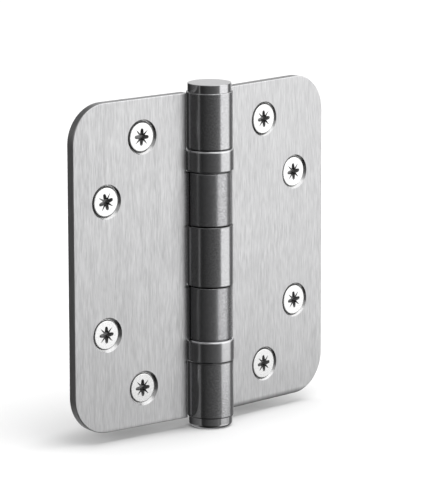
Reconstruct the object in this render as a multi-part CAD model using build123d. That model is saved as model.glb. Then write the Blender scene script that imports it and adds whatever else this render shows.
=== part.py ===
from build123d import *
import os
from math import acos, asin, degrees, radians, sin, tan

# Ball bearing butt hinge of 102 x 102 x 3 mm, opened a little past flat, with its screws in place.
# Lengths are in millimetres and angles in degrees. Each piece is made about the hinge line, which is the
# pin's axis with Z = 0 at mid-height. X runs along the frame leaf and Y points to its back.
# seat() then moves it to the part's frame, whose origin lies on the frame leaf's back face, in the
# middle of its four screws.

# Leaves
LEAF_HEIGHT = 102.0
LEAF_REACH = 51.0
SHEET = 3.0
CORNER_RADIUS = 12.0
CLOSED_GAP = 2.2
OPEN_PAST_FLAT = 7.0
EDGE_ROUND = 0.3

# Rolled knuckles: the frame leaf has three and the door leaf two
PIN_DIAMETER = 7.9
PIN_CLEARANCE = 0.05
FRAME_CLEARANCE = 0.25
MIDDLE_KNUCKLE = 18.8
END_KNUCKLE = 17.7
KNUCKLE_GAP = 0.2
SWAGE_RADIUS = 5.0
SEAM_GAP = 0.3
NOTCH_CLEARANCE = 0.6
NOTCH_RADIUS = 0.5

# Screw holes: distances from the hinge line and from mid-height
INNER_HOLE_X = 25.0
INNER_HOLE_Z = 39.1
OUTER_HOLE_X = 38.6
OUTER_HOLE_Z = 20.6
HOLE_CLEARANCE = 0.25
SINK_DIAMETER = 10.9
SINK_ANGLE = 90.0

# Countersunk screws
SCREW_LENGTH = 16.0
THREAD_DIAMETER = 5.0
NECK_RELIEF = 0.1
HEAD_DIAMETER = 8.8
HEAD_LAND = 0.7
TIP_CHAMFER = 0.8

# Cross recess in each screw's head, turned as the screw was left
RECESS_SPAN = 5.3
RECESS_WING = 1.15
RECESS_CORE = 2.9
RECESS_DEPTH = 2.2
RECESS_TAPER = 8.0
FRAME_SCREW_TURNS = (3.0, 4.0, 6.0, 4.0)
DOOR_SCREW_TURNS = (-4.0, 15.0, 1.0, 1.0)

# Bearings between knuckles 1 and 2 and between knuckles 4 and 5
BEARING_SPACE = 7.1
BEARING_GAP = 0.2
SHELL_DIAMETER = 14.9
SHELL_WALL = 1.0
SHELL_TOP_ROUND = 0.8
SHELL_BOTTOM_ROUND = 0.5
RACE_CLEARANCE = 0.1
RACE_SHOULDER = 0.2
BALL_CLEARANCE = 0.05
BALL_COUNT = 12

# Groove depth and cage thickness as shares of the ball's diameter
GROOVE_SHARE = 0.175
CAGE_SHARE = 0.4

# Pin ends and caps
TENON_DIAMETER = 5.0
TENON_LENGTH = 3.0
TENON_CLEARANCE = 0.02
SPIGOT_LENGTH = 4.5
CAP_DIAMETER = 13.5
TOP_CAP_HEIGHT = 2.6
BOTTOM_CAP_HEIGHT = 3.2
TOP_CAP_ROUND = 0.15
BOTTOM_CAP_ROUND = 1.2

# Worked out from the sizes above
HALF_HEIGHT = LEAF_HEIGHT / 2
FACE_Y = CLOSED_GAP / 2
BACK_Y = FACE_Y + SHEET
FRAME_BORE = PIN_DIAMETER + 2 * FRAME_CLEARANCE
DOOR_BORE = PIN_DIAMETER + 2 * PIN_CLEARANCE
FRAME_KNUCKLE_RADIUS = FRAME_BORE / 2 + SHEET
DOOR_KNUCKLE_RADIUS = DOOR_BORE / 2 + SHEET
NOTCH_X = max(FRAME_KNUCKLE_RADIUS, DOOR_KNUCKLE_RADIUS, SHELL_DIAMETER / 2) + NOTCH_CLEARANCE
BEARING_TOP = HALF_HEIGHT - END_KNUCKLE
DOOR_KNUCKLE_TOP = BEARING_TOP - BEARING_SPACE
DOOR_KNUCKLE_BOTTOM = MIDDLE_KNUCKLE / 2 + KNUCKLE_GAP
BALL_LEVEL = BEARING_TOP - BEARING_SPACE / 2
RACE_BORE = PIN_DIAMETER / 2 + RACE_CLEARANCE
SHELL_BORE = SHELL_DIAMETER / 2 - SHELL_WALL
PITCH_RADIUS = (RACE_BORE + SHELL_BORE) / 2
BALL_DIAMETER = SHELL_BORE - RACE_BORE - 2 * RACE_SHOULDER
RACE_SPACING = BALL_DIAMETER * (1 - 2 * GROOVE_SHARE)
RACE_THICKNESS = (BEARING_SPACE - RACE_SPACING) / 2
CAGE_THICKNESS = BALL_DIAMETER * CAGE_SHARE
HOLE_DIAMETER = THREAD_DIAMETER + 2 * HOLE_CLEARANCE
NECK_DIAMETER = THREAD_DIAMETER - 2 * NECK_RELIEF
SINK_SLOPE = 1 / tan(radians(SINK_ANGLE / 2))
SCREW_PLACES = (
    (INNER_HOLE_X, INNER_HOLE_Z),
    (OUTER_HOLE_X, OUTER_HOLE_Z),
    (OUTER_HOLE_X, -OUTER_HOLE_Z),
    (INNER_HOLE_X, -INNER_HOLE_Z),
)
ORIGIN_X = (INNER_HOLE_X + OUTER_HOLE_X) / 2


def seat(piece):
    """Moves a piece from the hinge line to the part's frame."""
    return Location((-ORIGIN_X, -BACK_Y, 0)) * piece


def open_door_side(piece):
    """Turns a piece that lies flat along -X to the angle at which the door leaf stands."""
    return Rot(0, 0, -OPEN_PAST_FLAT) * piece


def turned(*points):
    """Revolves an outline, given as radius and height, about the hinge line."""
    outline = make_face(Polyline(*[(radius, 0, height) for radius, height in points], close=True))
    return revolve(outline, Axis.Z)


def rolled_section(bore):
    """Section of a leaf across its height: flat sheet, reverse bend and rolled knuckle."""
    middle_y = FACE_Y + SHEET / 2
    roll_radius = (bore + SHEET) / 2
    knuckle_radius = bore / 2 + SHEET
    bend_angle = degrees(acos((middle_y + SWAGE_RADIUS) / (roll_radius + SWAGE_RADIUS)))
    bend_start_x = (roll_radius + SWAGE_RADIUS) * sin(radians(bend_angle))
    seam_angle = degrees(asin((FACE_Y - SEAM_GAP) / knuckle_radius))
    roll_angle = 270 + bend_angle + seam_angle
    flat = Line((LEAF_REACH, middle_y), (bend_start_x, middle_y))
    swage = JernArc(flat @ 1, (-1, 0), SWAGE_RADIUS, -bend_angle)
    roll = JernArc(swage @ 1, swage % 1, roll_radius, roll_angle)
    return trace(flat + swage + roll, SHEET)


def notch(bottom, top):
    """Cut that clears the other leaf's knuckle or a bearing, with rounded inner corners."""
    depth = 2 * NOTCH_X
    block = Location((0, 0, (bottom + top) / 2)) * Box(depth, 4 * NOTCH_X, top - bottom)
    inner = block.edges().filter_by(Axis.Y).group_by(Axis.X)[-1]
    inside = [edge for edge in inner if abs(edge.center().Z) < HALF_HEIGHT]
    return fillet(inside, NOTCH_RADIUS)


def screw_hole(x, z):
    """Countersunk through hole, sunk from the leaf's front face."""
    from_face = (Align.CENTER, Align.CENTER, Align.MIN)
    sink_depth = (SINK_DIAMETER - HOLE_DIAMETER) / 2 * SINK_SLOPE
    cone = Cone(SINK_DIAMETER / 2, HOLE_DIAMETER / 2, sink_depth, align=from_face)
    through = Cylinder(HOLE_DIAMETER / 2, SHEET, align=from_face)
    return Location((x, FACE_Y, z)) * Rot(-90, 0, 0) * (cone + through)


def outline_edges(blank):
    """Edges all round a stamped leaf and its knuckles, without the seams between smooth faces."""
    upright = [edge for edge in blank.edges().filter_by(Axis.Z) if edge.center().X > NOTCH_X - EDGE_ROUND]
    level = blank.edges().filter_by(Axis.X)
    curved = blank.edges().filter_by(GeomType.CIRCLE)
    return upright + list(level) + list(curved)


def leaf(bore, notches):
    """One folded leaf along +X with its knuckles about the hinge line."""
    blank = extrude(Plane.XY.offset(-HALF_HEIGHT) * rolled_section(bore), LEAF_HEIGHT)
    corners = blank.edges().filter_by(Axis.Y).group_by(Axis.X)[-1]
    blank = fillet(corners, CORNER_RADIUS)
    for bottom, top in notches:
        blank -= notch(bottom, top)
    blank = fillet(outline_edges(blank), EDGE_ROUND)
    for x, z in SCREW_PLACES:
        blank -= screw_hole(x, z)
    return blank


def frame_leaf():
    """Leaf with knuckles 1, 3 and 5, notched for knuckles 2 and 4 and both bearings."""
    upper = (MIDDLE_KNUCKLE / 2, BEARING_TOP)
    lower = (-BEARING_TOP, -MIDDLE_KNUCKLE / 2)
    return leaf(FRAME_BORE, (upper, lower))


def door_leaf():
    """Leaf with knuckles 2 and 4, mirrored to the other side and opened."""
    past_end = HALF_HEIGHT + SHEET
    notches = (
        (DOOR_KNUCKLE_TOP, past_end),
        (-DOOR_KNUCKLE_BOTTOM, DOOR_KNUCKLE_BOTTOM),
        (-past_end, -DOOR_KNUCKLE_TOP),
    )
    return open_door_side(mirror(leaf(DOOR_BORE, notches), about=Plane.YZ))


def hinge_pin():
    """Turned pin with a tenon at each end."""
    shoulder = HALF_HEIGHT - SPIGOT_LENGTH
    end = shoulder + TENON_LENGTH
    return turned(
        (0, -end),
        (TENON_DIAMETER / 2, -end),
        (TENON_DIAMETER / 2, -shoulder),
        (PIN_DIAMETER / 2, -shoulder),
        (PIN_DIAMETER / 2, shoulder),
        (TENON_DIAMETER / 2, shoulder),
        (TENON_DIAMETER / 2, end),
        (0, end),
    )


def cap(height, edge_round):
    """Cap seen from its outer end: a disc on the knuckle, and a spigot that takes the pin's tenon."""
    spigot_end = HALF_HEIGHT - SPIGOT_LENGTH
    socket_end = spigot_end + TENON_LENGTH
    socket_radius = TENON_DIAMETER / 2 + TENON_CLEARANCE
    solid = turned(
        (0, socket_end),
        (socket_radius, socket_end),
        (socket_radius, spigot_end),
        (FRAME_BORE / 2, spigot_end),
        (FRAME_BORE / 2, HALF_HEIGHT),
        (CAP_DIAMETER / 2, HALF_HEIGHT),
        (CAP_DIAMETER / 2, HALF_HEIGHT + height),
        (0, HALF_HEIGHT + height),
    )
    return fillet(solid.edges().group_by(Axis.Z)[-1], edge_round)


def top_cap():
    """Flat cap on knuckle 1."""
    return cap(TOP_CAP_HEIGHT, TOP_CAP_ROUND)


def bottom_cap():
    """Cap under knuckle 5, with a rounded lower edge."""
    return mirror(cap(BOTTOM_CAP_HEIGHT, BOTTOM_CAP_ROUND), about=Plane.XY)


def ring(inner, outer, bottom, top):
    """Plain ring about the hinge line."""
    return turned((inner, bottom), (outer, bottom), (outer, top), (inner, top))


def bearing_shell(top_round, bottom_round):
    """Outer ring of the upper bearing, seated under knuckle 1."""
    bottom = DOOR_KNUCKLE_TOP + BEARING_GAP
    shell = ring(SHELL_BORE, SHELL_DIAMETER / 2, bottom, BEARING_TOP)
    rims = shell.edges().filter_by(GeomType.CIRCLE).group_by(SortBy.RADIUS)[-1]
    shell = fillet(rims.group_by(Axis.Z)[-1], top_round)
    rims = shell.edges().filter_by(GeomType.CIRCLE).group_by(SortBy.RADIUS)[-1]
    return fillet(rims.group_by(Axis.Z)[0], bottom_round)


def ball_track():
    """Space that the balls sweep, with the clearance of the grooves."""
    return Location((0, 0, BALL_LEVEL)) * Torus(PITCH_RADIUS, BALL_DIAMETER / 2 + BALL_CLEARANCE)


def frame_race():
    """Grooved race on the frame side, pressed into the shell under knuckle 1."""
    return ring(RACE_BORE, SHELL_BORE, BEARING_TOP - RACE_THICKNESS, BEARING_TOP) - ball_track()


def door_race():
    """Grooved race on the door side, resting on knuckle 2 and running clear of the shell."""
    outer = SHELL_BORE - RACE_CLEARANCE
    return ring(RACE_BORE, outer, DOOR_KNUCKLE_TOP, DOOR_KNUCKLE_TOP + RACE_THICKNESS) - ball_track()


def ball_places():
    """Where the balls stand round the pitch circle, at the ball level."""
    return Location((0, 0, BALL_LEVEL)) * PolarLocations(PITCH_RADIUS, BALL_COUNT)


def cage():
    """Flat ring with a round pocket for each ball."""
    inner = RACE_BORE + RACE_CLEARANCE
    outer = SHELL_BORE - RACE_CLEARANCE
    half = CAGE_THICKNESS / 2
    solid = ring(inner, outer, BALL_LEVEL - half, BALL_LEVEL + half)
    pocket = Cylinder(BALL_DIAMETER / 2 + BALL_CLEARANCE, 2 * CAGE_THICKNESS)
    for place in ball_places():
        solid -= place * pocket
    return solid


def balls():
    """The ring of balls, each a solid of its own."""
    return Compound([place * Sphere(BALL_DIAMETER / 2) for place in ball_places()])


def driver_recess():
    """Cross recess in a screw's head: four tapered wings round a square core."""
    wing = extrude(Rectangle(RECESS_SPAN, RECESS_WING), RECESS_DEPTH, taper=RECESS_TAPER)
    core = extrude(Rectangle(RECESS_CORE, RECESS_CORE, rotation=45), RECESS_DEPTH, taper=RECESS_TAPER)
    return wing + Rot(0, 0, 90) * wing + core


def screw(turn):
    """Countersunk screw along +Z, with Z = 0 where its cone would meet the leaf's front face."""
    land_end = (SINK_DIAMETER - HEAD_DIAMETER) / 2 * SINK_SLOPE
    head_top = land_end - HEAD_LAND
    cone_end = (SINK_DIAMETER - NECK_DIAMETER) / 2 * SINK_SLOPE
    tip = head_top + SCREW_LENGTH
    head = turned(
        (0, head_top),
        (HEAD_DIAMETER / 2, head_top),
        (HEAD_DIAMETER / 2, land_end),
        (NECK_DIAMETER / 2, cone_end),
        (0, cone_end),
    )
    neck = ring(0, NECK_DIAMETER / 2, land_end, tip - TIP_CHAMFER)
    thread = turned(
        (0, SHEET),
        (THREAD_DIAMETER / 2, SHEET),
        (THREAD_DIAMETER / 2, tip - TIP_CHAMFER),
        (THREAD_DIAMETER / 2 - TIP_CHAMFER, tip),
        (0, tip),
    )
    return head + neck + thread - Location((0, 0, head_top)) * Rot(0, 0, turn) * driver_recess()


def screws(side, turns):
    """A leaf's four screws. Side is 1 along +X or -1 along -X, and turns are as seen from the front."""
    seated = []
    for (x, z), turn in zip(SCREW_PLACES, turns):
        seated.append(Location((side * x, FACE_Y, z)) * Rot(-90, 0, 0) * screw(-turn))
    return Compound(seated)


def frame_leaf_screws():
    """The four screws of the frame leaf."""
    return screws(1, FRAME_SCREW_TURNS)


def door_leaf_screws():
    """The four screws of the door leaf, opened with it."""
    return open_door_side(screws(-1, DOOR_SCREW_TURNS))


def upper_bearing():
    """Pieces of the bearing between knuckles 1 and 2."""
    return {
        "shell": bearing_shell(SHELL_TOP_ROUND, SHELL_BOTTOM_ROUND),
        "frame_race": frame_race(),
        "door_race": door_race(),
        "cage": cage(),
        "balls": balls(),
    }


def lower_bearing():
    """The same pieces between knuckles 4 and 5, upside down."""
    pieces = upper_bearing() | {"shell": bearing_shell(SHELL_BOTTOM_ROUND, SHELL_TOP_ROUND)}
    return {name: mirror(piece, about=Plane.XY) for name, piece in pieces.items()}


def hinge():
    """Every piece of the hinge by the name of its node, about the hinge line."""
    pieces = {
        "frame_leaf": frame_leaf(),
        "door_leaf": door_leaf(),
        "hinge_pin": hinge_pin(),
        "top_cap": top_cap(),
        "bottom_cap": bottom_cap(),
        "frame_leaf_screws": frame_leaf_screws(),
        "door_leaf_screws": door_leaf_screws(),
    }
    for place, bearing in (("upper", upper_bearing()), ("lower", lower_bearing())):
        for name, piece in bearing.items():
            pieces[f"{place}_bearing_{name}"] = piece
    return pieces


os.makedirs("parts", exist_ok=True)
for name, piece in hinge().items():
    export_step(seat(piece), f"parts/{name}.step")
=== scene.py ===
"""Looks of a ball bearing butt hinge, opened a little past flat, with its eight countersunk screws."""

import logging
import math
from dataclasses import dataclass, field
from enum import Enum

import bmesh
import bpy
from mathutils import Matrix, Vector


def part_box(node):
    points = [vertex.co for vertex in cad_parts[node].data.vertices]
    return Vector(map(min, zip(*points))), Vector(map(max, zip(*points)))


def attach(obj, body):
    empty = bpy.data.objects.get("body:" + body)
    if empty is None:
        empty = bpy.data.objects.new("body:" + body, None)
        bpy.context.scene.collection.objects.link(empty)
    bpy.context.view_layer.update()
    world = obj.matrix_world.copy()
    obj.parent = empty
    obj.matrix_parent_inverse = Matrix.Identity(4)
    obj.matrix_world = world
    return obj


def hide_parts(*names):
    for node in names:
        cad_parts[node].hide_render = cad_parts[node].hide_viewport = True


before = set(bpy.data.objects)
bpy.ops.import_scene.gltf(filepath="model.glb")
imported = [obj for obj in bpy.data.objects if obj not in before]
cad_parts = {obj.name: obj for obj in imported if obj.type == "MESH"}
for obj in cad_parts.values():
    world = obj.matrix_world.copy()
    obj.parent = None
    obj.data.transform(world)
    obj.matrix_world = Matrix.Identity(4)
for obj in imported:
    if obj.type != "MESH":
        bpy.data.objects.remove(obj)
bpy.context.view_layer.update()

LOG = logging.getLogger("hinge")
MM = 0.001

# The hinge line in the frame leaf's frame, and how far the door leaf stands past flat
HINGE_X = -31.8 * MM
HINGE_Y = -4.1 * MM
DOOR_TURN = math.radians(-7.0)
LEAF_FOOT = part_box("frame_leaf")[0][2]

# Axis and middle of what is turned, and how far in a rounding's middle point stands, as a share of its radius
TURNING_AXIS = (0.0, 0.0, 1.0)
TURNING_CENTRE = (0.0, 0.0, 0.0)
ROUNDING_MIDDLE = 0.3


class Side(Enum):
    """The leaf a piece belongs to: which way it runs from the pin, and the body it rides on."""

    FRAME = "frame"
    DOOR = "door"

    @property
    def body(self) -> str:
        """Name of the body that carries this leaf."""
        return f"{self.value}_side"

    @property
    def direction(self) -> int:
        """1 where the leaf runs along +X from the pin, -1 where it runs the other way."""
        return 1 if self is Side.FRAME else -1

    @property
    def turn(self) -> float:
        """How far this leaf stands past flat, in radians."""
        return 0.0 if self is Side.FRAME else DOOR_TURN

    @property
    def placing(self) -> Matrix:
        """Moves a shape drawn about the hinge line to where this leaf stands."""
        return Matrix.Translation((HINGE_X, HINGE_Y, 0.0)) @ Matrix.Rotation(self.turn, 4, "Z")

    @property
    def face_normal(self) -> Vector:
        """Direction in which the leaf's back faces."""
        return Matrix.Rotation(self.turn, 3, "Z") @ Vector((0.0, 1.0, 0.0))


class Graph:
    """Adds nodes to a node tree and joins them."""

    def __init__(self, tree: bpy.types.NodeTree) -> None:
        """Starts with an empty tree.

        Args:
            tree: the node tree to fill.
        """
        self.tree = tree
        tree.nodes.clear()

    def add(self, kind: str, inputs: dict | None = None, **settings: object) -> bpy.types.Node:
        """Adds one node.

        Args:
            kind: the node's type, without the word ShaderNode.
            inputs: by socket name or place, a value or the output that feeds it.
            **settings: the node's own properties.

        Returns:
            The new node.
        """
        prefix = "" if kind.startswith("NodeGroup") else "ShaderNode"
        node = self.tree.nodes.new(prefix + kind)
        for name, value in settings.items():
            setattr(node, name, value)
        for name, value in (inputs or {}).items():
            if isinstance(value, bpy.types.NodeSocket):
                self.tree.links.new(value, node.inputs[name])
            else:
                node.inputs[name].default_value = value
        return node

    def math(self, operation: str, *values: object) -> bpy.types.NodeSocket:
        """Adds a Math node.

        Args:
            operation: its operation.
            *values: its inputs in order, each a number or an output.

        Returns:
            Its output.
        """
        return self.add("Math", dict(enumerate(values)), operation=operation).outputs[0]

    def spread(self, value: object, low: object, high: object, to_low: float, to_high: float) -> bpy.types.NodeSocket:
        """Maps a value smoothly and within bounds from one range to another.

        Args:
            value: the output to map.
            low: where the first range starts, a number or an output.
            high: where it ends, likewise.
            to_low: the result at the start.
            to_high: the result at the end.

        Returns:
            The mapped output.
        """
        ranges = {"Value": value, "From Min": low, "From Max": high, "To Min": to_low, "To Max": to_high}
        return self.add("MapRange", ranges, interpolation_type="SMOOTHSTEP").outputs["Result"]

    def noise(self, vector: object, scale: tuple[float, float, float], detail: float = 3.0) -> bpy.types.NodeSocket:
        """Adds a stretched noise pattern.

        Args:
            vector: the coordinates that it follows.
            scale: its pitch along each axis, in waves per metre.
            detail: how many finer layers it has.

        Returns:
            Its value, from 0 to 1.
        """
        placed = self.add("Mapping", {"Vector": vector, "Scale": scale})
        pattern = self.add("TexNoise", {"Vector": placed.outputs[0], "Scale": 1.0, "Detail": detail})
        return pattern.outputs[0]

    def tint(self, factor: object, dark: tuple[float, ...], light: tuple[float, ...]) -> bpy.types.NodeSocket:
        """Mixes two colours.

        Args:
            factor: 0 for the first colour, 1 for the second.
            dark: the first colour.
            light: the second colour.

        Returns:
            The mixed colour.
        """
        return self.cover(factor, (*dark, 1.0), (*light, 1.0))

    def cover(self, factor: object, below: object, above: object) -> bpy.types.NodeSocket:
        """Lays one colour over another.

        Args:
            factor: how far the upper one covers the lower one.
            below: the lower colour.
            above: the upper colour.

        Returns:
            The resulting colour.
        """
        return self.add("Mix", {0: factor, 6: below, 7: above}, data_type="RGBA").outputs[2]

    def blend(self, factor: object, low: object, high: object) -> bpy.types.NodeSocket:
        """Mixes two values.

        Args:
            factor: 0 for the first value, 1 for the second.
            low: the first value.
            high: the second value.

        Returns:
            The mixed value.
        """
        return self.add("Mix", {0: factor, 2: low, 3: high}).outputs[0]


class SharedEffect:
    """A node group with named sockets, built once and used in several materials."""

    name = "effect"
    inputs: tuple[tuple[str, str, float | None], ...] = ()
    outputs: tuple[tuple[str, str], ...] = ()

    def __init__(self) -> None:
        """Builds the group with its sockets."""
        self.group = bpy.data.node_groups.new(self.name, "ShaderNodeTree")
        for name, kind, default in self.inputs:
            socket = self.group.interface.new_socket(name, in_out="INPUT", socket_type=kind)
            if default is not None:
                socket.default_value = default
        for name, kind in self.outputs:
            self.group.interface.new_socket(name, in_out="OUTPUT", socket_type=kind)
        graph = Graph(self.group)
        given = graph.add("NodeGroupInput")
        results = self.build(graph, given.outputs)
        graph.add("NodeGroupOutput", results)

    def build(self, graph: Graph, given: bpy.types.bpy_prop_collection) -> dict[str, bpy.types.NodeSocket]:
        """Fills the group.

        Args:
            graph: where its nodes go.
            given: the group's inputs by name.

        Returns:
            The outputs by name.
        """
        raise NotImplementedError

    def place(self, graph: Graph, **values: object) -> bpy.types.Node:
        """Puts the group in a material.

        Args:
            graph: the material's tree.
            **values: its inputs, with _ for a space.

        Returns:
            The group's node.
        """
        node = graph.add("Group", node_tree=self.group)
        for name, value in values.items():
            socket = node.inputs[name.replace("_", " ")]
            if isinstance(value, bpy.types.NodeSocket):
                graph.tree.links.new(value, socket)
            else:
                socket.default_value = value
        return node


class UprightGrain(SharedEffect):
    """Fine lines of a linishing belt that ran along the pin."""

    name = "upright_grain"
    inputs = (("Vector", "NodeSocketVector", None),)
    outputs = (("Lines", "NodeSocketFloat"), ("Height", "NodeSocketFloat"))
    # Waves per metre, twice across the pin and then along it
    wide_pitch = (700.0, 700.0, 45.0)
    middle_pitch = (2700.0, 2700.0, 170.0)
    fine_pitch = (5200.0, 5200.0, 360.0)
    # Shares of wide, middle and fine lines in the colour, and of middle and fine ones in the relief
    line_shares = (0.15, 0.45, 0.4)
    height_shares = (0.4, 0.6)
    contrast = (0.34, 0.66)

    def build(self, graph: Graph, given: bpy.types.bpy_prop_collection) -> dict[str, bpy.types.NodeSocket]:
        """Lays three widths of lines over each other, then sums them up.

        Args:
            graph: where its nodes go.
            given: the group's inputs by name.

        Returns:
            The outputs by name.
        """
        wide = graph.noise(given["Vector"], self.wide_pitch, detail=2.0)
        middle = graph.noise(given["Vector"], self.middle_pitch, detail=3.0)
        fine = graph.noise(given["Vector"], self.fine_pitch, detail=2.0)
        wide_share, middle_share, fine_share = self.line_shares
        coarse = graph.math("MULTIPLY_ADD", wide, wide_share, graph.math("MULTIPLY", middle, middle_share))
        lines = graph.math("MULTIPLY_ADD", fine, fine_share, coarse)
        middle_height = graph.math("MULTIPLY", middle, self.height_shares[0])
        height = graph.math("MULTIPLY_ADD", fine, self.height_shares[1], middle_height)
        return {"Lines": graph.spread(lines, *self.contrast, 0.0, 1.0), "Height": height}


class HandlingMarks(SharedEffect):
    """Faint smears of handling and a few hairline scratches."""

    name = "handling_marks"
    inputs = (("Vector", "NodeSocketVector", None),)
    outputs = (("Smears", "NodeSocketFloat"), ("Scratches", "NodeSocketFloat"))
    smear_pitch = (70.0, 70.0, 45.0)
    smear_contrast = (0.35, 0.7)
    scratch_pitch = (160.0, 160.0, 26.0)
    scratch_turn = (0.25, 0.4, 0.2)
    scratch_width = 0.035
    patch_pitch = (240.0, 240.0, 110.0)
    patch_level = 0.6

    def build(self, graph: Graph, given: bpy.types.bpy_prop_collection) -> dict[str, bpy.types.NodeSocket]:
        """Takes the smears from broad noise and the scratches from the edges of stretched cells.

        Args:
            graph: where its nodes go.
            given: the group's inputs by name.

        Returns:
            The outputs by name.
        """
        smears = graph.noise(given["Vector"], self.smear_pitch, detail=4.0)
        turned = {"Vector": given["Vector"], "Scale": self.scratch_pitch, "Rotation": self.scratch_turn}
        placed = graph.add("Mapping", turned).outputs[0]
        cells = graph.add("TexVoronoi", {"Vector": placed, "Scale": 1.0}, feature="DISTANCE_TO_EDGE")
        line = graph.math("LESS_THAN", cells.outputs["Distance"], self.scratch_width)
        patch = graph.noise(given["Vector"], self.patch_pitch, detail=1.0)
        scratched = graph.math("GREATER_THAN", patch, self.patch_level)
        return {
            "Smears": graph.spread(smears, *self.smear_contrast, 0.0, 1.0),
            "Scratches": graph.math("MULTIPLY", line, scratched),
        }


class BarrelZone(SharedEffect):
    """1 on the rolled knuckles round the hinge line, 0 on the flat leaf."""

    name = "barrel_zone"
    inputs = (
        ("Vector", "NodeSocketVector", None),
        ("Start", "NodeSocketFloat", 0.0078),
        ("End", "NodeSocketFloat", 0.0098),
    )
    outputs = (("Mask", "NodeSocketFloat"),)

    def build(self, graph: Graph, given: bpy.types.bpy_prop_collection) -> dict[str, bpy.types.NodeSocket]:
        """Measures the distance from the hinge line.

        Args:
            graph: where its nodes go.
            given: the group's inputs by name.

        Returns:
            The outputs by name.
        """
        parts = graph.add("SeparateXYZ", {0: given["Vector"]}).outputs
        across = graph.math("POWER", graph.math("SUBTRACT", parts[0], HINGE_X), 2.0)
        along = graph.math("POWER", graph.math("SUBTRACT", parts[1], HINGE_Y), 2.0)
        reach = graph.math("SQRT", graph.math("ADD", across, along))
        return {"Mask": graph.spread(reach, given["Start"], given["End"], 1.0, 0.0)}


class ShearedEdge(SharedEffect):
    """Tells the cut edge faces of a leaf and the cones of its screw holes from its flats."""

    name = "sheared_edge"
    inputs = (("Normal", "NodeSocketVector", None), ("Sheet normal", "NodeSocketVector", None))
    outputs = (("Mask", "NodeSocketFloat"), ("Cone", "NodeSocketFloat"))
    # How far a face looks the way the sheet does: hardly on a cut edge, about 0.71 on a cone of 90 degrees
    edge_fade = (0.15, 0.45)
    cone_rise = (0.6, 0.66)
    cone_fall = (0.76, 0.82)

    def build(self, graph: Graph, given: bpy.types.bpy_prop_collection) -> dict[str, bpy.types.NodeSocket]:
        """Compares the surface's direction with the sheet's.

        Args:
            graph: where its nodes go.
            given: the group's inputs by name.

        Returns:
            The outputs by name.
        """
        facing = graph.add("VectorMath", {0: given["Normal"], 1: given["Sheet normal"]}, operation="DOT_PRODUCT")
        amount = graph.math("ABSOLUTE", facing.outputs["Value"])
        rise = graph.spread(amount, *self.cone_rise, 0.0, 1.0)
        fall = graph.spread(amount, *self.cone_fall, 1.0, 0.0)
        edge = graph.spread(amount, *self.edge_fade, 1.0, 0.0)
        return {"Mask": edge, "Cone": graph.math("MULTIPLY", rise, fall)}


class JointShade(SharedEffect):
    """1 in the painted shade along the lines where two pieces of the barrel meet, 0 elsewhere."""

    name = "joint_shade"
    inputs = (("Vector", "NodeSocketVector", None),)
    outputs = (("Mask", "NodeSocketFloat"),)
    fade = (0.1 * MM, 0.6 * MM)
    middle_knuckle_end = 9.5 * MM
    cap_gap = 0.3 * MM
    # Heights from the middle: between knuckles 2 and 3, below and above the ring, and just under the cap
    levels = (
        middle_knuckle_end,
        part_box("upper_bearing_shell")[0][2],
        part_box("upper_bearing_shell")[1][2],
        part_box("frame_leaf")[1][2] + cap_gap,
    )

    def build(self, graph: Graph, given: bpy.types.bpy_prop_collection) -> dict[str, bpy.types.NodeSocket]:
        """Measures how far a point is above or below the nearest joint.

        Args:
            graph: where its nodes go.
            given: the group's inputs by name.

        Returns:
            The outputs by name.
        """
        upright = graph.add("SeparateXYZ", {0: given["Vector"]}).outputs[2]
        nearest = graph.math("ABSOLUTE", graph.math("SUBTRACT", upright, LEAF_FOOT))
        height = graph.math("ABSOLUTE", upright)
        for level in self.levels:
            away = graph.math("ABSOLUTE", graph.math("SUBTRACT", height, level))
            nearest = graph.math("MINIMUM", away, nearest)
        return {"Mask": graph.spread(nearest, *self.fade, 1.0, 0.0)}


@dataclass
class Effects:
    """The shared effects, built once."""

    grain: UprightGrain = field(default_factory=UprightGrain)
    marks: HandlingMarks = field(default_factory=HandlingMarks)
    barrel: BarrelZone = field(default_factory=BarrelZone)
    edge: ShearedEdge = field(default_factory=ShearedEdge)
    joint: JointShade = field(default_factory=JointShade)


def new_material(name: str) -> tuple[bpy.types.Material, Graph]:
    """Makes an empty node material.

    Args:
        name: the material's name.

    Returns:
        The material and the graph that fills it.
    """
    material = bpy.data.materials.new(name)
    material.use_nodes = True
    return material, Graph(material.node_tree)


def finish_surface(graph: Graph, colour: object, roughness: object, height: object, depth: float) -> None:
    """Ends a metal material in its shader.

    Args:
        graph: the material's tree.
        colour: the output that gives its colour.
        roughness: the output that gives its roughness.
        height: the output that gives its relief.
        depth: the relief's depth in metres.
    """
    bump = graph.add("Bump", {"Height": height, "Distance": depth, "Strength": 1.0})
    surface = {"Metallic": 1.0, "Base Color": colour, "Roughness": roughness, "Normal": bump.outputs[0]}
    shader = graph.add("BsdfPrincipled", surface)
    graph.add("OutputMaterial", {"Surface": shader.outputs[0]})


@dataclass(frozen=True)
class LeafMasks:
    """Where a leaf's kinds of surface lie, each 1 on its own and 0 elsewhere."""

    barrel: bpy.types.NodeSocket
    edge: bpy.types.NodeSocket
    cone: bpy.types.NodeSocket
    # Painted shade in the barrel's joint lines and along the leaf's foot
    painted_shade: bpy.types.NodeSocket


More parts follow.
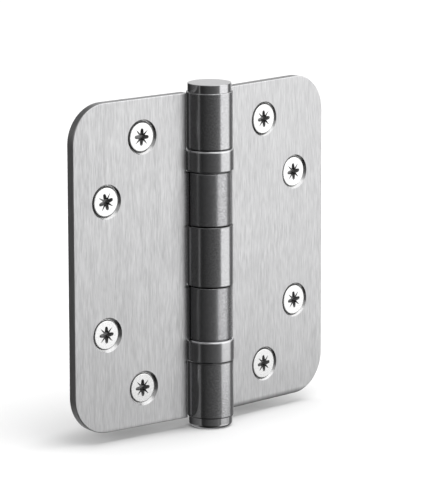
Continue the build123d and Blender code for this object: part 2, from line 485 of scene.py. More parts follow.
@dataclass(frozen=True)
class LeafFinish:
    """Satin steel sheet, linished upright, with the knuckles burnished by rolling."""

    name: str
    side: Side
    knuckle_roughness: float
    dark: tuple[float, float, float] = (0.5, 0.5, 0.505)
    light: tuple[float, float, float] = (0.66, 0.66, 0.665)
    edge_dark: tuple[float, float, float] = (0.37, 0.37, 0.375)
    edge_light: tuple[float, float, float] = (0.52, 0.52, 0.525)
    knuckle_dark: tuple[float, float, float] = (0.47, 0.47, 0.48)
    knuckle_light: tuple[float, float, float] = (0.65, 0.65, 0.66)
    # Colour of the painted shade laid in the barrel's joint lines and along the leaf's foot
    painted_shade_colour: tuple[float, float, float] = (0.12, 0.12, 0.12)
    # Painted shade darkening the flat towards the leaf's foot: its strength and the height it reaches
    foot_shade_share: float = 0.3
    foot_shade_height: float = 0.0012
    cone_dark: tuple[float, float, float] = (0.62, 0.62, 0.62)
    cone_light: tuple[float, float, float] = (0.76, 0.76, 0.76)
    leaf_roughness: float = 0.34
    cone_roughness: float = 0.24
    edge_roughness: float = 0.42
    grain_depth: float = 0.000012
    # What smears, grain and scratches add to the flat's roughness, and smears to the knuckles'
    smear_share: float = 0.035
    grain_share: float = -0.04
    scratch_share: float = 0.05
    knuckle_smear_share: float = 0.03
    # How much of the grain's depth rolling took off the knuckles
    knuckle_calm: float = 0.85
    mottle_pitch: tuple[float, float, float] = (2400.0, 2400.0, 3000.0)
    mottle_contrast: tuple[float, float] = (0.32, 0.68)
    # Distance from the hinge line within which a slanting face is the reverse bend and not a screw hole's cone
    bend_start: float = 0.0125
    bend_end: float = 0.0135
    # How far out of round the knuckles are: they fall off toward the other leaf between these angles
    roll_fall: float = 0.0
    roll_start: float = -120.0
    roll_end: float = 90.0

    def out_of_round(self, graph: Graph, place: bpy.types.NodeSocket) -> bpy.types.NodeSocket:
        """Relief of a knuckle that was rolled a little out of round.

        Args:
            graph: the material's tree.
            place: the object's coordinates.

        Returns:
            The relief, in grain depths.
        """
        parts = graph.add("SeparateXYZ", {0: place}).outputs
        across = graph.math("SUBTRACT", parts[0], HINGE_X)
        ahead = graph.math("SUBTRACT", HINGE_Y, parts[1])
        angle = graph.math("ARCTAN2", across, ahead)
        start, end = math.radians(self.roll_start), math.radians(self.roll_end)
        return graph.spread(angle, start, end, 0.0, -self.roll_fall / self.grain_depth)

    def masks(self, graph: Graph, place: bpy.types.bpy_prop_collection, effects: Effects) -> LeafMasks:
        """Tells the knuckles, cut edges, screw holes, and the painted shade at the barrel's joints and the leaf's
        foot, from the flat.

        Args:
            graph: the material's tree.
            place: the outputs with the coordinates and the normal.
            effects: the shared effects.

        Returns:
            The masks.
        """
        barrel = effects.barrel.place(graph, Vector=place["Object"]).outputs[0]
        off_barrel = graph.math("SUBTRACT", 1.0, barrel)
        turned = effects.edge.place(graph, Normal=place["Normal"], Sheet_normal=self.side.face_normal).outputs
        edge = graph.math("MULTIPLY", turned["Mask"], off_barrel)
        reach = {"Start": self.bend_start, "End": self.bend_end}
        bend = effects.barrel.place(graph, Vector=place["Object"], **reach).outputs[0]
        cone = graph.math("MULTIPLY", turned["Cone"], graph.math("SUBTRACT", 1.0, bend))
        # Painted shade in the joint lines between barrel pieces
        joint = graph.math("MULTIPLY", effects.joint.place(graph, Vector=place["Object"]).outputs[0], barrel)
        # Painted shade darkening the flat towards the leaf's foot
        upright = graph.add("SeparateXYZ", {0: place["Object"]}).outputs[2]
        foot = graph.spread(upright, LEAF_FOOT, LEAF_FOOT + self.foot_shade_height, self.foot_shade_share, 0.0)
        foot = graph.math("MULTIPLY", foot, off_barrel)
        return LeafMasks(barrel, edge, cone, graph.math("MAXIMUM", joint, foot))

    def colour(self, graph: Graph, place: object, lines: object, masks: LeafMasks) -> bpy.types.NodeSocket:
        """Colours the flat, the knuckles, the cut edges and the screw holes, then lays the painted shade of the joints
        and the foot over them.

        Args:
            graph: the material's tree.
            place: the object's coordinates.
            lines: the grain's lines.
            masks: where each kind of surface lies.

        Returns:
            The colour.
        """
        sheet = graph.tint(lines, self.dark, self.light)
        mottle = graph.noise(place, self.mottle_pitch, detail=3.0)
        shade = graph.spread(mottle, *self.mottle_contrast, 0.0, 1.0)
        knuckle = graph.tint(shade, self.knuckle_dark, self.knuckle_light)
        colour = graph.cover(masks.barrel, sheet, knuckle)
        colour = graph.cover(masks.edge, colour, graph.tint(lines, self.edge_dark, self.edge_light))
        colour = graph.cover(masks.cone, colour, graph.tint(lines, self.cone_dark, self.cone_light))
        # Lays on the painted shade of the joints and the foot
        return graph.cover(masks.painted_shade, colour, (*self.painted_shade_colour, 1.0))

    def roughness(self, graph: Graph, lines: object, marks: object, masks: LeafMasks) -> bpy.types.NodeSocket:
        """Sets how matt each kind of surface is.

        Args:
            graph: the material's tree.
            lines: the grain's lines.
            marks: the outputs with the smears and scratches.
            masks: where each kind of surface lies.

        Returns:
            The roughness.
        """
        worn = graph.math("MULTIPLY_ADD", marks["Smears"], self.smear_share, self.leaf_roughness)
        worn = graph.math("MULTIPLY_ADD", lines, self.grain_share, worn)
        worn = graph.math("MULTIPLY_ADD", marks["Scratches"], self.scratch_share, worn)
        burnished = graph.math("MULTIPLY_ADD", marks["Smears"], self.knuckle_smear_share, self.knuckle_roughness)
        roughness = graph.blend(masks.barrel, worn, burnished)
        roughness = graph.blend(masks.edge, roughness, self.edge_roughness)
        return graph.blend(masks.cone, roughness, self.cone_roughness)

    def material(self, effects: Effects) -> bpy.types.Material:
        """Builds the material.

        Args:
            effects: the shared effects.

        Returns:
            The finished material.
        """
        material, graph = new_material(self.name)
        place = graph.add("TexCoord").outputs
        grain = effects.grain.place(graph, Vector=place["Object"]).outputs
        marks = effects.marks.place(graph, Vector=place["Object"]).outputs
        masks = self.masks(graph, place, effects)
        colour = self.colour(graph, place["Object"], grain["Lines"], masks)
        roughness = self.roughness(graph, grain["Lines"], marks, masks)
        calm = graph.math("MULTIPLY_ADD", masks.barrel, -self.knuckle_calm, 1.0)
        height = graph.math("MULTIPLY", grain["Height"], calm)
        if self.roll_fall:
            height = graph.math("ADD", height, self.out_of_round(graph, place["Object"]))
        finish_surface(graph, colour, roughness, height, self.grain_depth)
        return material


@dataclass(frozen=True)
class TurnedFinish:
    """Turned steel of the pin, caps, rings and races, with fine rings round the hinge line."""

    name: str
    dark: tuple[float, float, float] = (0.53, 0.53, 0.54)
    light: tuple[float, float, float] = (0.6, 0.6, 0.61)
    roughness: float = 0.13
    ring_pitch: tuple[float, float, float] = (60.0, 60.0, 9000.0)
    ring_depth: float = 0.0000015
    ring_share: float = 0.4
    mottle_pitch: tuple[float, float, float] = (1500.0, 1500.0, 1500.0)
    mottle_share: float = 0.6
    contrast: tuple[float, float] = (0.3, 0.7)
    smear_share: float = 0.04
    scratch_share: float = 0.05

    def material(self, effects: Effects) -> bpy.types.Material:
        """Builds the material.

        Args:
            effects: the shared effects.

        Returns:
            The finished material.
        """
        material, graph = new_material(self.name)
        place = graph.add("TexCoord").outputs["Object"]
        marks = effects.marks.place(graph, Vector=place).outputs
        rings = graph.noise(place, self.ring_pitch, detail=2.0)
        mottle = graph.math("MULTIPLY", graph.noise(place, self.mottle_pitch, detail=3.0), self.mottle_share)
        shade = graph.math("MULTIPLY_ADD", rings, self.ring_share, mottle)
        colour = graph.tint(graph.spread(shade, *self.contrast, 0.0, 1.0), self.dark, self.light)
        rough = graph.math("MULTIPLY_ADD", marks["Smears"], self.smear_share, self.roughness)
        rough = graph.math("MULTIPLY_ADD", marks["Scratches"], self.scratch_share, rough)
        finish_surface(graph, colour, rough, rings, self.ring_depth)
        return material


@dataclass(frozen=True)
class MottledFinish:
    """Metal with fine mottling and smears, such as plate, or the dark steel that paints shade in a recess."""

    name: str
    dark: tuple[float, float, float]
    light: tuple[float, float, float]
    roughness: float
    mottle_pitch: tuple[float, float, float]
    smear_share: float
    relief: float
    contrast: tuple[float, float] | None = None

    def material(self, effects: Effects) -> bpy.types.Material:
        """Builds the material.

        Args:
            effects: the shared effects.

        Returns:
            The finished material.
        """
        material, graph = new_material(self.name)
        place = graph.add("TexCoord").outputs["Object"]
        smears = effects.marks.place(graph, Vector=place).outputs["Smears"]
        mottle = graph.noise(place, self.mottle_pitch, detail=4.0)
        shade = graph.spread(mottle, *self.contrast, 0.0, 1.0) if self.contrast else mottle
        rough = graph.math("MULTIPLY_ADD", smears, self.smear_share, self.roughness)
        finish_surface(graph, graph.tint(shade, self.dark, self.light), rough, mottle, self.relief)
        return material


# Bright plate on the screws' heads and threads
BRIGHT_PLATE = MottledFinish(
    "bright_plate",
    dark=(0.86, 0.86, 0.86),
    light=(0.95, 0.95, 0.945),
    roughness=0.22,
    mottle_pitch=(2200.0, 2200.0, 2200.0),
    smear_share=0.08,
    relief=0.000002,
    contrast=(0.3, 0.7),
)

# Dark steel: painted shade on the driver recess's walls and floor, and on the head's flanks below its rim in the gap
# to the countersink
PAINTED_SHADE_STEEL = MottledFinish(
    "painted_shade_steel",
    dark=(0.26, 0.26, 0.26),
    light=(0.46, 0.46, 0.46),
    roughness=0.55,
    mottle_pitch=(3000.0, 3000.0, 3000.0),
    smear_share=0.1,
    relief=0.00001,
)


def finished_object(name: str, shape: bmesh.types.BMesh, finishes: list[bpy.types.Material]) -> bpy.types.Object:
    """Puts a shape in the scene as an object.

    Args:
        name: the object's name.
        shape: its mesh, which is freed.
        finishes: its materials in order.

    Returns:
        The object.
    """
    mesh = bpy.data.meshes.new(name)
    shape.to_mesh(mesh)
    shape.free()
    for finish in finishes:
        mesh.materials.append(finish)
    made = bpy.data.objects.new(name, mesh)
    bpy.context.scene.collection.objects.link(made)
    return made


@dataclass
class CountersunkScrews:
    """A leaf's four countersunk screws, with rolled threads and a cross recess with tick marks."""

    side: Side
    turns: tuple[float, float, float, float]
    depths: tuple[float, float, float, float]
    head_radius: float = 4.4
    places: tuple[tuple[float, float], ...] = ((25.0, 39.1), (38.6, 20.6), (38.6, -20.6), (25.0, -39.1))
    face_y: float = 1.1
    mouth_radius: float = 5.45
    rim_round: float = 0.12
    tip: float = 16.35
    sheet: float = 3.0
    neck_radius: float = 2.2
    crest_radius: float = 2.48
    root_radius: float = 2.05
    pitch: float = 0.8
    tip_chamfer: float = 0.8
    # Root, both ends of the crest and root again, as shares of the pitch
    thread_form: tuple[float, float, float, float] = (0.0, 0.4, 0.55, 0.95)
    thread_gap: float = 0.02
    core_swell: float = 0.2
    tip_inset: float = 0.5
    # Half an arm of the recess on each side of its end: tick mark, root, flank and tip
    recess_arm: tuple[tuple[float, float], ...] = (
        (2.05, 2.12),
        (0.66, 1.1),
        (0.58, 1.9),
        (0.42, 2.5),
        (0.0, 2.68),
        (-0.42, 2.5),
        (-0.58, 1.9),
        (-0.66, 1.1),
        (-2.05, 2.12),
    )
    recess_depth: float = 1.7
    recess_taper: float = 0.62
    segments: int = 64
    plug_segments: int = 32
    thread_steps: int = 24
    weld: float = 1e-5
    thread_weld: float = 1e-4
    sharp_angle: float = 20.0

    def recess_outline(self) -> list[Vector]:
        """Corners of the cross recess at the head's face.

        Returns:
            Its corners in order, in millimetres.
        """
        corners = []
        for quarter in range(4):
            turn = Matrix.Rotation(math.radians(90.0 * quarter), 2)
            corners += [turn @ Vector(point) for point in self.recess_arm]
        return corners

    def half_outline(self, shape: bmesh.types.BMesh, profile: tuple[tuple[float, float], ...]) -> list:
        """Adds the line that is turned about the screw's axis.

        Args:
            shape: the mesh that it goes in.
            profile: its radii and levels in order.

        Returns:
            Its corners and edges.
        """
        verts = [shape.verts.new((radius, 0.0, level)) for radius, level in profile]
        return verts + [shape.edges.new(pair) for pair in zip(verts, verts[1:])]

    def lathe(self, shape: bmesh.types.BMesh, profile: tuple[tuple[float, float], ...], steps: int) -> None:
        """Turns a line all round the screw's axis.

        Args:
            shape: the mesh that it goes in.
            profile: the line's radii and levels in order.
            steps: how many facets go round.
        """
        bmesh.ops.spin(
            shape,
            geom=self.half_outline(shape, profile),
            axis=TURNING_AXIS,
            cent=TURNING_CENTRE,
            angle=2 * math.pi,
            steps=steps,
            use_merge=True,
        )

    def ring_of_edges(self, shape: bmesh.types.BMesh, corners: list[Vector], level: float) -> list[bmesh.types.BMEdge]:
        """Adds a closed ring of edges.

        Args:
            shape: the mesh that it goes in.
            corners: its corners in order.
            level: its height along the screw's axis.

        Returns:
            Its edges.
        """
        verts = [shape.verts.new((corner.x, corner.y, level)) for corner in corners]
        return [shape.edges.new((verts[i - 1], verts[i])) for i in range(len(verts))]

    def sink_recess(self, shape: bmesh.types.BMesh, edges: list[bmesh.types.BMEdge]) -> None:
        """Sinks a ring of edges as a pocket with sloping walls and closes its floor.

        Args:
            shape: the mesh.
            edges: the pocket's rim.
        """
        grown = bmesh.ops.extrude_edge_only(shape, edges=edges)["geom"]
        verts = [item for item in grown if isinstance(item, bmesh.types.BMVert)]
        middle = sum((vert.co for vert in verts), Vector()) / len(verts)
        taper = (self.recess_taper, self.recess_taper, 1.0)
        bmesh.ops.scale(shape, verts=verts, vec=taper, space=Matrix.Translation(-middle))
        bmesh.ops.translate(shape, verts=verts, vec=(0.0, 0.0, self.recess_depth))
        floor = [item for item in grown if isinstance(item, bmesh.types.BMEdge)]
        faces = bmesh.ops.triangle_fill(shape, use_beauty=True, edges=floor)["geom"]
        walls = [item for item in grown if isinstance(item, bmesh.types.BMFace)]
        # The recess's walls and floor take the dark steel: painted shade
        for face in walls + [item for item in faces if isinstance(item, bmesh.types.BMFace)]:
            face.material_index = 1

    def head(self, shape: bmesh.types.BMesh, top: float) -> None:
        """Adds the head with its recess, and the cone and neck under it.

        Args:
            shape: the mesh that it goes in.
            top: how far the head's face sits below the leaf's.
        """
        rim = self.rim_round
        inset = ROUNDING_MIDDLE * rim
        seat = self.mouth_radius - self.head_radius
        profile = (
            (self.head_radius - rim, top),
            (self.head_radius - inset, top + inset),
            (self.head_radius, top + rim),
            (self.head_radius, seat),
            (self.neck_radius, self.mouth_radius - self.neck_radius),
            (self.neck_radius, self.sheet + self.pitch),
        )
        self.lathe(shape, profile, self.segments)
        bmesh.ops.remove_doubles(shape, verts=shape.verts[:], dist=self.weld)
        # Faces below the rim take the dark steel: painted shade in the gap round the head
        for face in shape.faces:
            face.material_index = int(face.calc_center_median().z > top + rim)
        ends = [edge for edge in shape.edges if edge.is_boundary]
        rim_edges = [edge for edge in ends if edge.verts[0].co.z < top + rim / 2]
        neck_edges = [edge for edge in ends if edge not in rim_edges]
        bmesh.ops.triangle_fill(shape, use_beauty=True, edges=neck_edges)
        recess = self.ring_of_edges(shape, self.recess_outline(), top)
        bmesh.ops.triangle_fill(shape, use_beauty=True, edges=rim_edges + recess)
        self.sink_recess(shape, recess)

    def thread(self, shape: bmesh.types.BMesh) -> None:
        """Adds the rolled thread behind the leaf and the chamfered tip.

        Args:
            shape: the mesh that it goes in.
        """
        start = self.sheet + self.thread_gap
        chamfer = self.tip - self.tip_chamfer
        turns = int((chamfer - start) / self.pitch) - 1
        crest, root, pitch = self.crest_radius, self.root_radius, self.pitch
        levels = [start + share * pitch for share in (*self.thread_form, 1.0)]
        outline = self.half_outline(shape, tuple(zip((root, crest, crest, root, root), levels)))
        before = set(shape.faces)
        bmesh.ops.spin(
            shape,
            geom=outline,
            axis=TURNING_AXIS,
            cent=TURNING_CENTRE,
            dvec=(0.0, 0.0, pitch / self.thread_steps),
            angle=2 * math.pi * turns,
            steps=self.thread_steps * turns,
        )
        added = [face for face in shape.faces if face not in before]
        verts = list({vert for face in added for vert in face.verts})
        bmesh.ops.remove_doubles(shape, verts=verts, dist=self.thread_weld)
        bmesh.ops.holes_fill(shape, edges=[edge for edge in shape.edges if edge.is_boundary], sides=0)
        core_end = (root, start + turns * pitch)
        self.turned_plug(shape, (core_end, (root + self.core_swell, chamfer), (root - self.tip_inset, self.tip)))

    def turned_plug(self, shape: bmesh.types.BMesh, profile: tuple[tuple[float, float], ...]) -> None:
        """Adds a closed turned plug.

        Args:
            shape: the mesh that it goes in.
            profile: its radii and levels in order.
        """
        self.lathe(shape, profile, self.plug_segments)
        bmesh.ops.remove_doubles(shape, verts=[vert for vert in shape.verts if vert.is_boundary], dist=self.weld)
        bmesh.ops.holes_fill(shape, edges=[edge for edge in shape.edges if edge.is_boundary], sides=0)

    def one_screw(self, top: float) -> bmesh.types.BMesh:
        """Makes one screw along +Z, in millimetres, with Z = 0 at the leaf's face.

        Args:
            top: how far the head's face sits below the leaf's.

        Returns:
            Its mesh.
        """
        shape = bmesh.new()
        self.head(shape, top)
        self.thread(shape)
        bmesh.ops.recalc_face_normals(shape, faces=shape.faces[:])
        return shape

    def build(self, finishes: list[bpy.types.Material]) -> bpy.types.Object:
        """Makes the four screws as one piece in place of the plain ones.

        Args:
            finishes: the plate, and the dark steel that paints shade in the recess and round the head.

        Returns:
            The piece.
        """
        merged = bmesh.new()
        for (x, z), turn, top in zip(self.places, self.turns, self.depths):
            shape = self.one_screw(top)
            place = (
                self.side.placing
                @ Matrix.Translation((self.side.direction * x * MM, self.face_y * MM, z * MM))
                @ Matrix.Rotation(math.radians(-90.0), 4, "X")
                @ Matrix.Rotation(math.radians(-turn), 4, "Z")
                @ Matrix.Scale(MM, 4)
            )
            shape.transform(place)
            part = bpy.data.meshes.new("one_screw")
            shape.to_mesh(part)
            shape.free()
            merged.from_mesh(part)
            bpy.data.meshes.remove(part)
        piece = finished_object(f"{self.side.value}_leaf_screw_set", merged, finishes)
        piece.data.shade_smooth()
        piece.data.set_sharp_from_angle(angle=math.radians(self.sharp_angle))
        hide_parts(f"{self.side.value}_leaf_screws")
        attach(piece, self.side.body)
        return piece


@dataclass
class Leaves:
    """Both folded leaves: the frame leaf's knuckles are brighter than the door leaf's, from a smoother burnish and
    from painted shade on the door leaf's knuckles.
    """

    frame_finish: LeafFinish = LeafFinish(
        "frame_leaf_satin",
        Side.FRAME,
        knuckle_roughness=0.155,
        # Stronger and taller painted shade along the frame leaf's foot
        foot_shade_share=0.92,
        foot_shade_height=0.0019,
    )
    door_finish: LeafFinish = LeafFinish(
        "door_leaf_satin",
        Side.DOOR,
        knuckle_roughness=0.25,
        # The door leaf's flat is tinted a little lighter and its knuckles darker than the frame leaf's: painted light
        # and painted shade on the same steel
        dark=(0.51, 0.51, 0.515),
        light=(0.675, 0.675, 0.68),
        knuckle_dark=(0.38, 0.38, 0.39),
        knuckle_light=(0.53, 0.53, 0.54),
        roll_fall=0.0023,
    )

    def dress(self, effects: Effects) -> None:
        """Gives each leaf its finish.

        Args:
            effects: the shared effects.
        """
        for node, finish in (("frame_leaf", self.frame_finish), ("door_leaf", self.door_finish)):
            dress_node(node, finish.material(effects))


@dataclass
class Barrel:
    """Pin, caps and both bearings on the hinge line."""

    ring: TurnedFinish = TurnedFinish("bearing_shell_polish", roughness=0.16)
    cap: TurnedFinish = TurnedFinish("cap_turned", (0.58, 0.58, 0.59), (0.66, 0.66, 0.67), roughness=0.08)
    pin: TurnedFinish = TurnedFinish("pin_ground", roughness=0.2)
    race: TurnedFinish = TurnedFinish("race_ground", (0.4, 0.4, 0.41), (0.5, 0.5, 0.51), roughness=0.16)
    ball: TurnedFinish = TurnedFinish("ball_polish", (0.72, 0.72, 0.74), (0.8, 0.8, 0.82), roughness=0.04)
    cage: TurnedFinish = TurnedFinish("cage_brass_sheet", (0.55, 0.4, 0.16), (0.68, 0.52, 0.24), roughness=0.3)

    def dress(self, effects: Effects) -> None:
        """Gives each piece on the hinge line its finish.

        Args:
            effects: the shared effects.
        """
        cap = self.cap.material(effects)
        dress_node("top_cap", cap)
        dress_node("bottom_cap", cap)
        dress_node("hinge_pin", self.pin.material(effects))
        shell, race = self.ring.material(effects), self.race.material(effects)
        ball, cage = self.ball.material(effects), self.cage.material(effects)
        for place in ("upper", "lower"):
            dress_node(f"{place}_bearing_shell", shell)
            dress_node(f"{place}_bearing_frame_race", race)
            dress_node(f"{place}_bearing_door_race", race)
            dress_node(f"{place}_bearing_cage", cage)
            dress_node(f"{place}_bearing_balls", ball)


def dress_node(node: str, material: bpy.types.Material) -> None:
    """Gives a carried-over node its finish.

    Args:
        node: the node's name.
        material: its finish.
    """
    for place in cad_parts[node].material_slots:
        place.material = material
    LOG.info("dressed %s in %s", node, material.name)


@dataclass
class Softbox:
    """Tall panel light at the front right that only shows as a reflection and fades out at its foot."""

    azimuth: float = 35.0
    distance: float = 0.36
    half_width: float = 0.216
    bottom: float = -0.2
    top: float = 0.3
    foot_end: float = -0.1
    head_start: float = 0.0
    head_end: float = 0.16
    side_end: float = -0.122
    side_share: float = 0.15
    level: float = 1.26
    head_level: float = 0.75

    def build(self) -> bpy.types.Object:
        """Makes the panel, facing the hinge line.

        Returns:
            The panel.
        """
        shape = bmesh.new()
        bmesh.ops.create_grid(shape, x_segments=2, y_segments=2, size=1.0)
        height = (self.top - self.bottom) / 2
        turn = Matrix.Rotation(math.radians(self.azimuth), 4, "Z")
        centre = Matrix.Translation((HINGE_X, HINGE_Y - self.distance, self.bottom + height))
        upright = Matrix.Rotation(math.radians(90.0), 4, "X")
        shape.transform(turn @ centre @ upright @ Matrix.Diagonal((self.half_width, height, 1.0, 1.0)))
        panel = finished_object("studio_softbox", shape, [self.material()])
        panel.visible_camera = False
        panel.visible_diffuse = False
        panel.visible_shadow = False
        return panel

    def material(self) -> bpy.types.Material:
        """Makes the glow, which fades out at the foot and the left side and is stronger at the top.

        Returns:
            The glowing material.
        """
        material, graph = new_material("softbox_glow")
        place = graph.add("TexCoord").outputs["Object"]
        upright = graph.add("SeparateXYZ", {0: place}).outputs[2]
        foot = graph.spread(upright, self.bottom, self.foot_end, 0.0, self.level)
        head = graph.spread(upright, self.head_start, self.head_end, 0.0, self.head_level)
        turn = math.radians(self.azimuth)
        width_way = Vector((math.cos(turn), math.sin(turn), 0.0))
        across = graph.add("VectorMath", {0: place, 1: width_way}, operation="DOT_PRODUCT").outputs["Value"]
        centre = width_way.dot(Vector((HINGE_X, HINGE_Y, 0.0)))
        side = graph.spread(across, centre - self.half_width, centre + self.side_end, self.side_share, 1.0)
        glow = graph.math("MULTIPLY", graph.math("ADD", foot, head), side)
        shader = graph.add("Emission", {"Color": (1.0, 1.0, 1.0, 1.0), "Strength": glow})
        graph.add("OutputMaterial", {"Surface": shader.outputs[0]})
        return material


@dataclass
class Studio:
    """Pale floor, soft surround, a tall panel light at the front right, and the photograph's camera."""

    softbox: Softbox = field(default_factory=Softbox)
    camera_at: tuple[float, float, float] = (-863.147, -843.279, 240.845)
    right: tuple[float, float, float] = (0.709293, -0.704906, -0.003301)
    up: tuple[float, float, float] = (0.141131, 0.137418, 0.980407)
    back: tuple[float, float, float] = (-0.690641, -0.695862, 0.196954)
    lens: float = 289.716
    sensor: float = 36.0
    floor_half: float = 4.0
    floor_level: float = -54.25
    floor_dark: tuple[float, float, float] = (0.85, 0.85, 0.85)
    floor_pale: tuple[float, float, float] = (0.87, 0.87, 0.87)
    floor_pitch: tuple[float, float, float] = (3.0, 3.0, 3.0)
    # Painted shadow on the floor under the leaves, an ellipse: its centre's Y, half its axes, its fade and its colour
    painted_shadow_y: float = 9.0
    painted_shadow_size: tuple[float, float] = (50.0, 12.0)
    painted_shadow_fade: tuple[float, float] = (0.3, 1.5)
    painted_shadow_colour: tuple[float, float, float] = (0.55, 0.55, 0.55)
    floor_light: float = 40.0
    floor_light_size: float = 3.0
    floor_light_height: float = 2.0
    overhead: float = 1.35
    rear_level: float = 0.36
    rear_fade: float = 0.2
    below: float = 0.2
    haze: float = 0.3
    overhead_way: tuple[float, float, float] = (0.4, -0.58, 0.71)
    overhead_fade: tuple[float, float] = (0.5, 0.84)
    # Where each part of the surround fades in, along an axis of the view's direction
    rear_way: tuple[float, float] = (0.2, 0.6)
    rear_rise: tuple[float, float] = (-0.02, 0.12)
    rear_drop: tuple[float, float] = (0.24, 0.45)
    rear_deep: tuple[float, float] = (-0.52, -0.36)
    rear_left: tuple[float, float] = (-0.35, 0.15)
    rear_left_share: float = 0.45
    front_foot: tuple[float, float] = (-0.64, -0.44)
    haze_rise: tuple[float, float] = (0.02, 0.3)
    # Azimuth from the front, positive to the right, and the surround's brightness there
    band: tuple[tuple[float, float], ...] = (
        (-180.0, 0.03),
        (-165.0, 0.05),
        (-145.0, 0.1),
        (-122.0, 0.14),
        (-108.0, 0.16),
        (-99.0, 0.2),
        (-96.5, 0.2),
        (-93.0, 0.04),
        (-82.0, 0.03),
        (-66.0, 0.055),
        (-45.0, 0.085),
        (-25.0, 0.115),
        (-8.0, 0.155),
        (5.0, 0.25),
        (13.0, 0.9),
        (19.0, 1.25),
        (60.0, 1.25),
        (69.0, 0.5),
        (77.0, 0.17),
        (95.0, 0.18),
        (115.0, 0.34),
        (135.0, 0.4),
        (145.0, 0.36),
        (153.0, 0.06),
        (180.0, 0.03),
    )

    def surround(self) -> None:
        """Makes the world: bright high at the front right, dim at the front left, and paler low behind."""
        world = bpy.data.worlds.new("studio_surround")
        world.use_nodes = True
        graph = Graph(world.node_tree)
        way = graph.add("TexCoord").outputs["Generated"]
        parts = graph.add("SeparateXYZ", {0: way}).outputs
        azimuth = graph.math("ARCTAN2", parts[0], graph.math("MULTIPLY", parts[1], -1.0))
        share = graph.math("MULTIPLY_ADD", azimuth, 1 / (2 * math.pi), 0.5)
        ramp = graph.add("ValToRGB", {0: share})
        stops = ramp.color_ramp.elements
        while len(stops) > 1:
            stops.remove(stops[0])
        for number, (angle, level) in enumerate(self.band):
            place = angle / 360.0 + 0.5
            stop = stops[0] if number == 0 else stops.new(place)
            stop.position = place
            stop.color = (level, level, level, 1.0)
        rear = graph.spread(parts[1], *self.rear_way, 0.0, 1.0)
        above = graph.spread(parts[2], *self.rear_rise, 0.0, self.rear_level)
        above = graph.math("SUBTRACT", above, graph.spread(parts[2], *self.rear_drop, 0.0, self.rear_fade))
        deep = graph.spread(parts[2], *self.rear_deep, self.rear_level, 0.0)
        left = graph.spread(parts[0], *self.rear_left, self.rear_left_share, 1.0)
        behind = graph.math("MULTIPLY", graph.math("MULTIPLY", rear, left), graph.math("ADD", above, deep))
        front = graph.spread(parts[2], *self.front_foot, self.below, 1.0)
        ahead = graph.math("SUBTRACT", 1.0, rear)
        dimmed = graph.math("MULTIPLY", ramp.outputs[0], graph.math("MULTIPLY_ADD", front, ahead, rear))
        haze = graph.math("MULTIPLY", graph.spread(parts[2], *self.haze_rise, 0.0, self.haze), ahead)
        level = graph.math("ADD", graph.math("ADD", dimmed, behind), haze)
        facing = graph.add("VectorMath", {0: way, 1: self.overhead_way}, operation="DOT_PRODUCT").outputs["Value"]
        high = graph.spread(facing, *self.overhead_fade, 0.0, 1.0)
        total = graph.blend(high, level, self.overhead)
        light = graph.add("Background", {"Color": (1.0, 1.0, 1.0, 1.0), "Strength": total})
        graph.add("OutputWorld", {"Surface": light.outputs[0]})
        bpy.context.scene.world = world

    def floor_material(self) -> bpy.types.Material:
        """Makes the floor's pale paint, with a painted shadow where the leaves stand over it.

        Returns:
            The finished material.
        """
        material, graph = new_material("pale_floor")
        place = graph.add("TexCoord").outputs["Object"]
        colour = graph.tint(graph.noise(place, self.floor_pitch), self.floor_dark, self.floor_pale)
        # Painted shadow on the floor round where the leaves stand
        offset = (-HINGE_X, -self.painted_shadow_y * MM, 0.0)
        centred = graph.add("VectorMath", {0: place, 1: offset}, operation="ADD").outputs[0]
        squeeze = (1 / (self.painted_shadow_size[0] * MM), 1 / (self.painted_shadow_size[1] * MM), 0.0)
        squeezed = graph.add("VectorMath", {0: centred, 1: squeeze}, operation="MULTIPLY").outputs[0]
        reach = graph.add("VectorMath", {0: squeezed}, operation="LENGTH").outputs["Value"]
        painted_shadow = graph.spread(reach, *self.painted_shadow_fade, 1.0, 0.0)
        colour = graph.cover(painted_shadow, colour, (*self.painted_shadow_colour, 1.0))
        paint = {"Base Color": colour, "Roughness": 0.9, "Specular IOR Level": 0.1}
        graph.add("OutputMaterial", {"Surface": graph.add("BsdfPrincipled", paint).outputs[0]})
        return material

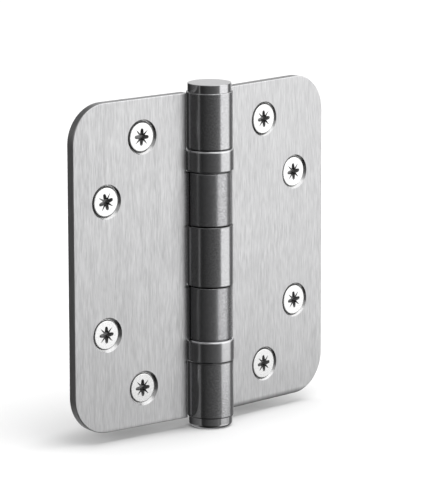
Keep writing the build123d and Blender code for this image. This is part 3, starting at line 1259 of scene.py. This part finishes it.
    def floor(self) -> None:
        """Makes the floor, which the polished barrel doesn't mirror."""
        shape = bmesh.new()
        bmesh.ops.create_grid(shape, x_segments=2, y_segments=2, size=self.floor_half)
        bmesh.ops.translate(shape, verts=shape.verts[:], vec=(0.0, 0.0, self.floor_level * MM))
        floor = finished_object("studio_floor", shape, [self.floor_material()])
        floor.visible_glossy = False

    def lamp(self) -> None:
        """Hangs the light over the floor, which nothing mirrors."""
        glow = bpy.data.lights.new("floor_light", "AREA")
        glow.shape = "DISK"
        glow.size = self.floor_light_size
        glow.energy = self.floor_light
        light = bpy.data.objects.new("floor_light", glow)
        light.location = (0.0, 0.0, self.floor_light_height)
        light.visible_glossy = False
        light.visible_camera = False
        bpy.context.scene.collection.objects.link(light)

    def camera(self) -> None:
        """Puts the camera where the photograph was taken from."""
        lens = bpy.data.cameras.new("photograph")
        lens.sensor_width = self.sensor
        lens.lens = self.lens
        lens.clip_start = 0.05
        lens.clip_end = 20.0
        camera = bpy.data.objects.new("photograph", lens)
        turn = Matrix((self.right, self.up, self.back)).transposed().to_4x4()
        camera.matrix_world = Matrix.Translation(Vector(self.camera_at) * MM) @ turn
        bpy.context.scene.collection.objects.link(camera)
        bpy.context.scene.camera = camera

    def set_up(self) -> None:
        """Makes the whole studio."""
        self.surround()
        self.softbox.build()
        self.floor()
        self.lamp()
        self.camera()
        bpy.context.scene.view_settings.view_transform = "Standard"


def main() -> None:
    """Builds and dresses the hinge in its studio."""
    logging.basicConfig(level=logging.INFO, format="%(message)s")
    effects = Effects()
    Leaves().dress(effects)
    Barrel().dress(effects)
    finishes = [BRIGHT_PLATE.material(effects), PAINTED_SHADE_STEEL.material(effects)]
    for screws in (
        CountersunkScrews(
            Side.FRAME,
            turns=(3.0, 4.0, 6.0, 4.0),
            depths=(0.1, 0.45, 0.2, 0.25),
            head_radius=4.55,
        ),
        CountersunkScrews(
            Side.DOOR,
            turns=(-4.0, 15.0, 1.0, 1.0),
            depths=(0.25, 0.28, 0.6, 0.6),
        ),
    ):
        piece = screws.build(finishes)
        LOG.info("built %s with %d faces", piece.name, len(piece.data.polygons))
    Studio().set_up()


if __name__ == "__main__":
    main()
